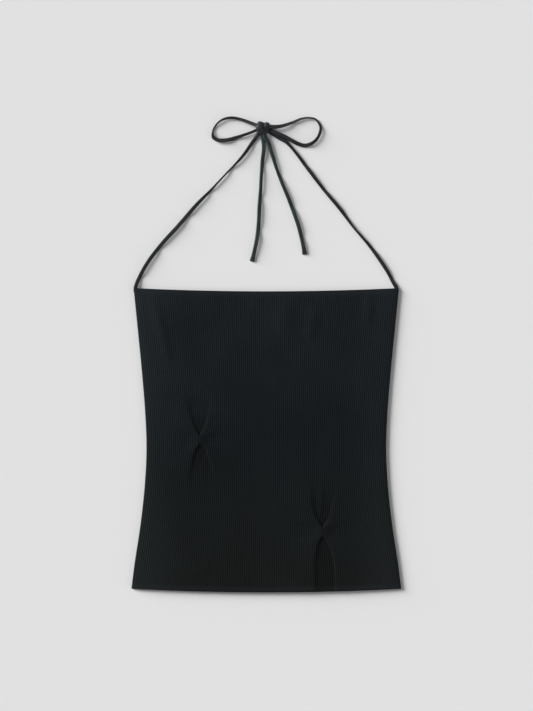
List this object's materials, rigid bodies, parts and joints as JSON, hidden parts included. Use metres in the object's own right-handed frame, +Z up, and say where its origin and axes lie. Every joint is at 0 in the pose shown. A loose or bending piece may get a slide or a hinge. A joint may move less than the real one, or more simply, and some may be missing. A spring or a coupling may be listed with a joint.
{
  "type": "halter neck top",
  "caption": "Sleeveless fitted rib knit halter top laid flat, with pinched tucks and narrow neck ties tied in a bow above the straight neck edge.",
  "frame": {"origin": "middle of the panels' box in plan, on the surface the back panel rests on; the ties lie beyond it", "axes": "+X to the right of the front as it lies, +Y from the hem to the neck edge, +Z up from the back panel through the front panel"},
  "size_m": [0.3774, 0.6652, 0.0086],
  "materials": {
    "rib_knit": "matt fine rib knit, dyed black",
    "tie_cloth": "smooth turned jersey strip, dyed black"
  },
  "bodies": {
    "root": {"front_panel": "rib_knit", "back_panel": "rib_knit", "strap_left": "tie_cloth", "strap_right": "tie_cloth", "bow_left": "tie_cloth", "bow_right": "tie_cloth", "tail_left": "tie_cloth", "tail_right": "tie_cloth", "knot": "tie_cloth"}
  },
  "joints": []
}
